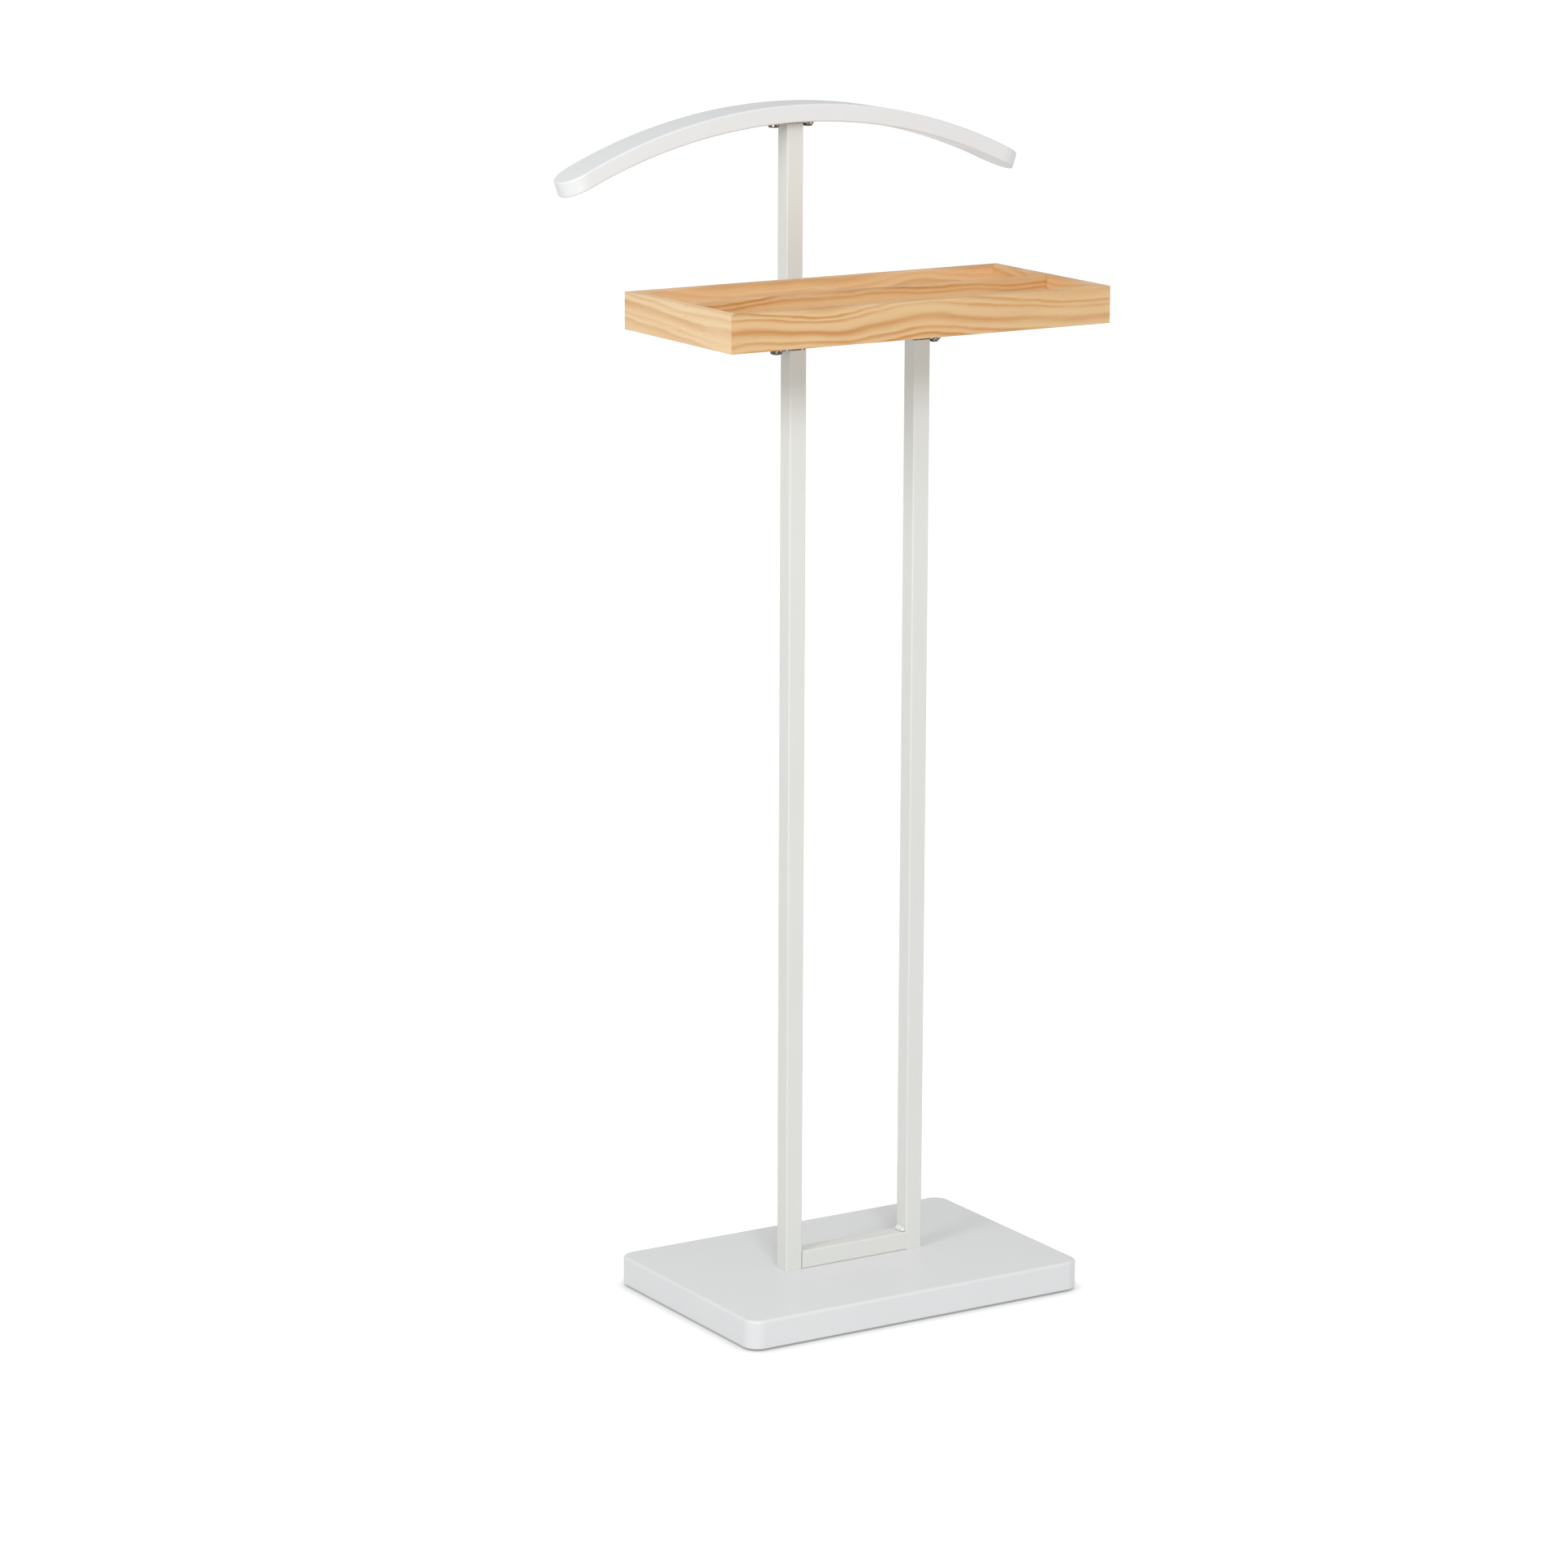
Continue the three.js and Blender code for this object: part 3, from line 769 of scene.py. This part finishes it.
# Each wall: its side, the way to the inside, its fibres' axis, its place in the log in
# millimetres (along the log, then across it from the pith) and how pale it is.
WALLS = (
    ("front", Vector((0, 1)), 0, (7374, 14, 46), 0.0),
    ("back", Vector((0, -1)), 0, (1480, 16, 64), 0.8),
    ("left", Vector((1, 0)), 1, (7948, 9, 77), 1.0),
    ("right", Vector((-1, 0)), 1, (3120, -15, 58), 0.3),
)
FLAT_BOARDS = (
    ("floor_board", "tray_floor", (4200, 30, 40), 1.0),
    ("divider_board", "tray_divider", (5300, 8, 49), 0.15),
)


def build_tray(look):
    for side, inward, along, log, pallor in WALLS:
        node = f"tray_{side}_wall"
        plan = mitred_plan(*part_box(node), inward)
        build_board(f"{side}_board", node, plan, along, log, pallor, look)
    for name, node, log, pallor in FLAT_BOARDS:
        build_board(name, node, rectangle_plan(*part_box(node)), 0, log, pallor, look)


# ---------------------------------------------------------------- hanger

def hanger_drop(x):
    """How far the arch has fallen at a distance from its middle."""
    return HANGER_RADIUS - math.sqrt(HANGER_RADIUS ** 2 - x ** 2)


def hanger_ring(centre, top, reach, half, inset, level):
    """The bar's outline at a level, which is 0 at its top face and negative below: along the front
    to the right tip, then along the back. Its plan has half-round ends, and its tips lean in
    towards the underside."""
    radius = half - inset
    straight = reach - half + level * HANGER_END_SLANT / HANGER_THICKNESS
    ends = []
    for step in range(HANGER_END_STEPS):
        ends.append(-straight - radius * math.cos(step / HANGER_END_STEPS * QUARTER))
    span = [straight * (2 * step / HANGER_SPAN_STEPS - 1) for step in range(HANGER_SPAN_STEPS + 1)]
    front = []
    for x in ends + span + [-end for end in reversed(ends)]:
        beyond = max(abs(x) - straight, 0)
        front.append((x, -math.sqrt(max(radius ** 2 - beyond ** 2, 0))))
    back = [(x, -y) for x, y in reversed(front[1:-1])]
    return [Vector((x, centre.y + y, top + level - hanger_drop(x))) for x, y in front + back]


def cap_in_strips(skin, loop):
    """Closes a long bent loop with faces that each run from its front to its back."""
    tip = len(loop) // 2
    skin.faces.new((loop[0], loop[1], loop[-1]))
    skin.faces.new((loop[tip], loop[tip + 1], loop[tip - 1]))
    for here in range(1, tip - 1):
        skin.faces.new((loop[here], loop[here + 1], loop[-here - 1], loop[-here]))


def build_hanger(look):
    """The arched bar, which has the same section all along."""
    low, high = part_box("hanger_bar")
    reach = (high.x - low.x) / 2
    half = (high.y - low.y) / 2
    layers = eased_layers(-HANGER_THICKNESS, 0, HANGER_EDGE, HANGER_EDGE, 6)
    rings = [hanger_ring(mid(low, high), high.z, reach, half, inset, level)
             for inset, level in layers]
    skin = bmesh.new()
    loops = vertex_loops(skin, rings)
    for first, second in zip(loops, loops[1:]):
        bridge(skin, first, second)
    for loop in (loops[0], loops[-1]):
        cap_in_strips(skin, loop)
    bmesh.ops.recalc_face_normals(skin, faces=skin.faces)
    show(solid("arched_bar", skin), look, ["hanger_bar"])


# ---------------------------------------------------------------- stage, light and camera

# The camera stands where the stand's sizes look as they do in the photo.
CAMERA_PLACE = Vector((-2.4286, -3.8087, 1.4712))
CAMERA_YAW = math.radians(31.82)
CAMERA_PITCH = math.radians(12.77)
CAMERA_ROLL = math.radians(0.245)
CAMERA_LENS = 124.43
CAMERA_SENSOR = 36
STAND_MIDDLE = Vector((0, 0, 0.5))
STUDIO_LIGHT = 0.6
STUDIO_SEEN = 1.05  # how bright the studio looks to the camera
FLOOR_HALF = 20  # metres
FLOOR_GLOW = 0.8
CONTACT_GLOW = 0.08  # the floor's glow where it meets the slab, dimmed into a painted contact shadow
CONTACT_SHADE = 16 * MM  # how far the painted contact shadow reaches from the slab


def set_camera():
    data = bpy.data.cameras.new("camera")
    data.lens = CAMERA_LENS
    data.sensor_width = CAMERA_SENSOR
    data.clip_end = 100
    camera = bpy.data.objects.new("camera", data)
    bpy.context.scene.collection.objects.link(camera)
    level = math.cos(CAMERA_PITCH)
    forward = Vector((math.sin(CAMERA_YAW) * level, math.cos(CAMERA_YAW) * level,
                      -math.sin(CAMERA_PITCH)))
    roll = Quaternion((0, 0, 1), CAMERA_ROLL)
    camera.rotation_mode = "QUATERNION"
    camera.rotation_quaternion = forward.to_track_quat("-Z", "Y") @ roll
    camera.location = CAMERA_PLACE
    bpy.context.scene.camera = camera


def add_softbox(name, place, size, power):
    """A square area light aimed at the middle of the stand."""
    data = bpy.data.lights.new(name, "AREA")
    data.size = size
    data.energy = power
    light = bpy.data.objects.new(name, data)
    bpy.context.scene.collection.objects.link(light)
    light.location = place
    aim = STAND_MIDDLE - Vector(place)
    light.rotation_mode = "QUATERNION"
    light.rotation_quaternion = aim.to_track_quat("-Z", "Y")
    light.visible_camera = False


def set_world():
    """An even white studio, which the camera sees as brightly as the floor."""
    world = bpy.data.worlds.new("studio")
    world.use_nodes = True
    nodes = world.node_tree.nodes
    background = nodes["Background"]
    background.inputs["Color"].default_value = (1, 1, 1, 1)
    seen = nodes.new("ShaderNodeLightPath").outputs["Is Camera Ray"]
    strength = nodes.new("ShaderNodeMapRange")
    strength.inputs["To Min"].default_value = STUDIO_LIGHT
    strength.inputs["To Max"].default_value = STUDIO_SEEN
    world.node_tree.links.new(seen, strength.inputs["Value"])
    world.node_tree.links.new(strength.outputs[0], background.inputs["Strength"])
    bpy.context.scene.world = world


def set_light():
    """Three softboxes, each with its place and size in metres and its power in watts."""
    add_softbox("front_key", (-1.1, -2.47, 2.39), 0.9, 33)
    add_softbox("left_fill", (-2.1, -0.64, 1.9), 0.7, 15)
    add_softbox("low_fill", (-1.5, -2.7, 0.35), 0.8, 10)
    view = bpy.context.scene.view_settings
    view.view_transform = "Standard"
    view.look = "None"


def set_floor():
    """A glowing white floor. Close to the slab, an ambient occlusion term dims its glow into a
    painted contact shadow.
    """
    graph = Graph("floor")
    grain = graph.spread(graph.noise(graph.place(), 40, 3), 0.34, 0.36)
    # painted shade: ambient occlusion dims the floor's glow next to the slab
    painted_shadow_mask = graph.node("AmbientOcclusion", {"Distance": CONTACT_SHADE}, samples=16).outputs["AO"]
    glow = graph.spread(painted_shadow_mask, CONTACT_GLOW, FLOOR_GLOW)
    floor_material = graph.finish(Base_Color=grain, Roughness=0.9, Emission_Strength=glow)
    graph.shader.inputs["Emission Color"].default_value = (1, 1, 1, 1)
    skin = bmesh.new()
    corners = ((-1, -1), (1, -1), (1, 1), (-1, 1))
    skin.faces.new([skin.verts.new((x * FLOOR_HALF, y * FLOOR_HALF, 0)) for x, y in corners])
    floor = solid("floor", skin)
    floor.data.materials.append(floor_material)
    floor.visible_diffuse = False


# ---------------------------------------------------------------- the whole stand

def build_frame(coat, nickel_plate, dark_nylon):
    """The steel tubes, their plates and the bearer's plugs."""
    for name, _ in SIDES:
        build_tube(f"{name}_tube", f"{name}_upright", 2, coat, low_reach=TOUCH, high_reach=3 * TOUCH)
    build_tube("foot_tube", "foot_crossbar", 0, coat, lift=-TOUCH, high_reach=TOUCH)
    build_weld(coat)
    build_tube("bearer_tube", "tray_bearer", 0, coat, lift=TOUCH)
    build_post(coat)
    # The right-hand plate's corners, left ones first. The left-hand plate is its mirror image.
    square_first = (PLATE_SQUARE_CORNER, PLATE_CORNER)
    for name, side in SIDES:
        hole_x = mid(*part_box(f"tray_screw_{name}")).x
        build_plate(f"{name}_flange", f"{name}_upright_top_plate", [hole_x], nickel_plate, 2 * TOUCH,
                    *square_first[::side])
        build_plug(f"{name}_end_plug", f"bearer_plug_{name}", side, dark_nylon)
    build_plate("hanger_flange", "hanger_plate", [-SCREW_OFFSET, SCREW_OFFSET], nickel_plate, TOUCH)


def finish_inserts(dark_nylon):
    """The inserts keep their CAD shape, which nothing but a bolt can reach."""
    for name, _ in SIDES:
        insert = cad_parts[f"{name}_foot_insert"]
        insert.data.materials.clear()
        insert.data.materials.append(dark_nylon)


def build_stand():
    lacquer = white_lacquer()
    coat = white_powder_coat()
    nickel_plate = nickel()
    dark_nylon = nylon()
    build_slab(lacquer)
    build_pads(felt())
    build_frame(coat, nickel_plate, dark_nylon)
    build_fasteners(nickel_plate)
    build_tray(pine())
    build_hanger(lacquer)
    finish_inserts(dark_nylon)


set_camera()
set_world()
set_light()
set_floor()
build_stand()
